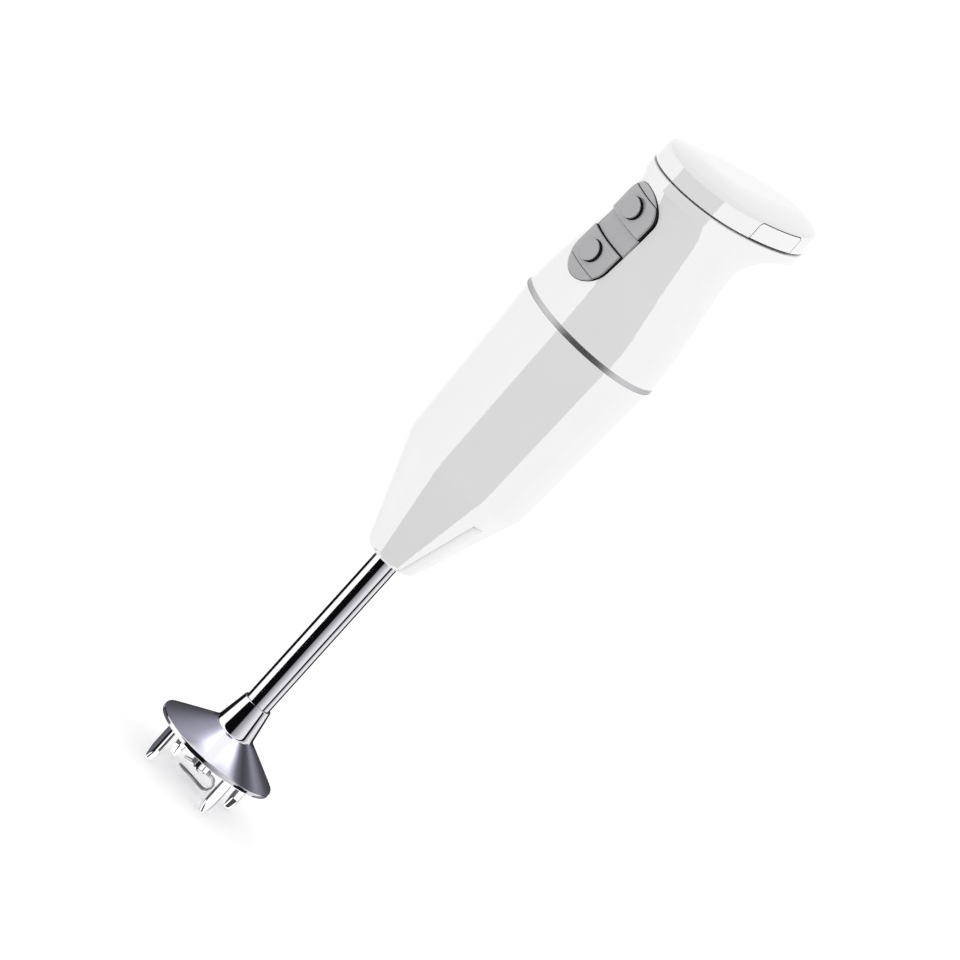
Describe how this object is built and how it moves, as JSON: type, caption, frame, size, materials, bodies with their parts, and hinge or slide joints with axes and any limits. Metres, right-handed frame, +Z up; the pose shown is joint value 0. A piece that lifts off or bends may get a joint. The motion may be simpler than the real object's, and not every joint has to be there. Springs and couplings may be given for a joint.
{
  "type": "immersion blender",
  "caption": "Cordless immersion blender: white grip with speed buttons and a lift-off battery pack, slim steel shaft, and a bell-shaped guard on legs round a bent blade.",
  "frame": {"origin": "on the shaft axis, in the plane of the guard's feet", "axes": "+Z up the shaft axis, -Y to the front where the speed buttons are, +X to the right seen from the front"},
  "size_m": [0.0746, 0.1001, 0.3781],
  "materials": {
    "white_shell": "gloss white moulded shell",
    "grey_keypad": "soft-touch light grey",
    "polished_steel": "mirror polished",
    "satin_steel": "satin steel with a polished rim",
    "seam_metal": "satin grey trim ring",
    "black_rubber": "black seal rubber",
    "bronze": "sintered bronze bush",
    "plain_steel": "bare steel",
    "motor_iron": "laminated iron",
    "magnet": "dark ferrite",
    "copper": "copper",
    "carbon": "carbon",
    "black_plastic": "black moulded plastic",
    "board_green": "green circuit board",
    "cell_sleeve": "sleeved metal can",
    "nickel": "nickel strip"
  },
  "bodies": {
    "handle": {"blade_guard": "satin_steel", "guard_collar": "polished_steel", "shaft_seal": "black_rubber", "lower_bearing": "bronze", "shaft_tube": "polished_steel", "upper_bearing": "bronze", "lower_housing": "white_shell", "nose_seal": "black_rubber", "tube_clamp": "plain_steel", "seam_ring": "seam_metal", "motor_mount": "plain_steel", "mount_screws": "plain_steel", "motor_screws": "plain_steel", "motor_can": "plain_steel", "front_motor_bearing": "bronze", "motor_magnets": "magnet", "carbon_brushes": "carbon", "motor_end_cap": "black_plastic", "rear_motor_bearing": "bronze", "upper_housing": "white_shell", "housing_screws": "plain_steel", "contact_block": "black_plastic", "bay_contacts": "copper", "motor_leads": "black_rubber", "board_ribbon": "black_plastic", "keypad_frame": "grey_keypad", "keypad_gasket": "black_rubber", "control_board": "board_green", "board_screws": "plain_steel", "speed_switches": "black_plastic"},
    "drive_train": {"drive_shaft": "plain_steel", "drive_coupling": "black_plastic", "cooling_fan": "black_plastic", "motor_shaft": "plain_steel", "armature_core": "motor_iron", "armature_windings": "copper", "commutator": "copper"},
    "blade": {"cutting_blade": "polished_steel", "blade_hub": "polished_steel", "blade_rivet": "polished_steel"},
    "low_speed": {"low_speed_button": "grey_keypad"},
    "high_speed": {"high_speed_button": "grey_keypad"},
    "battery_pack": {"battery_cap": "white_shell", "battery_case": "black_plastic", "battery_cells": "cell_sleeve", "cell_links": "nickel", "battery_board": "board_green", "pack_terminals": "copper"},
    "release_right": {"release_button_right": "white_shell"},
    "release_left": {"release_button_left": "white_shell"}
  },
  "joints": [
    {"name": "drive_spin", "type": "hinge", "parent": "handle", "child": "drive_train", "pos_m": [0, 0, 0.18], "axis": [0, 0, 1], "continuous": true},
    {"name": "blade_pull", "type": "slide", "parent": "drive_train", "child": "blade", "axis": [0, 0, -1], "range_m": [0, 0.02]},
    {"name": "low_speed_press", "type": "slide", "parent": "handle", "child": "low_speed", "axis": [0, 1, 0], "range_m": [0, 0.0012], "stiffness_N_per_m": 500, "springref_m": -0.0005},
    {"name": "high_speed_press", "type": "slide", "parent": "handle", "child": "high_speed", "axis": [0, 1, 0], "range_m": [0, 0.0012], "stiffness_N_per_m": 500, "springref_m": -0.0005},
    {"name": "battery_lift", "type": "slide", "parent": "handle", "child": "battery_pack", "axis": [0, 0, 1], "range_m": [0, 0.1]},
    {"name": "release_right_press", "type": "slide", "parent": "battery_pack", "child": "release_right", "axis": [-1, 0, 0], "range_m": [0, 0.0015], "stiffness_N_per_m": 500, "springref_m": -0.0005},
    {"name": "release_left_press", "type": "slide", "parent": "battery_pack", "child": "release_left", "axis": [1, 0, 0], "range_m": [0, 0.0015], "stiffness_N_per_m": 500, "springref_m": -0.0005}
  ]
}
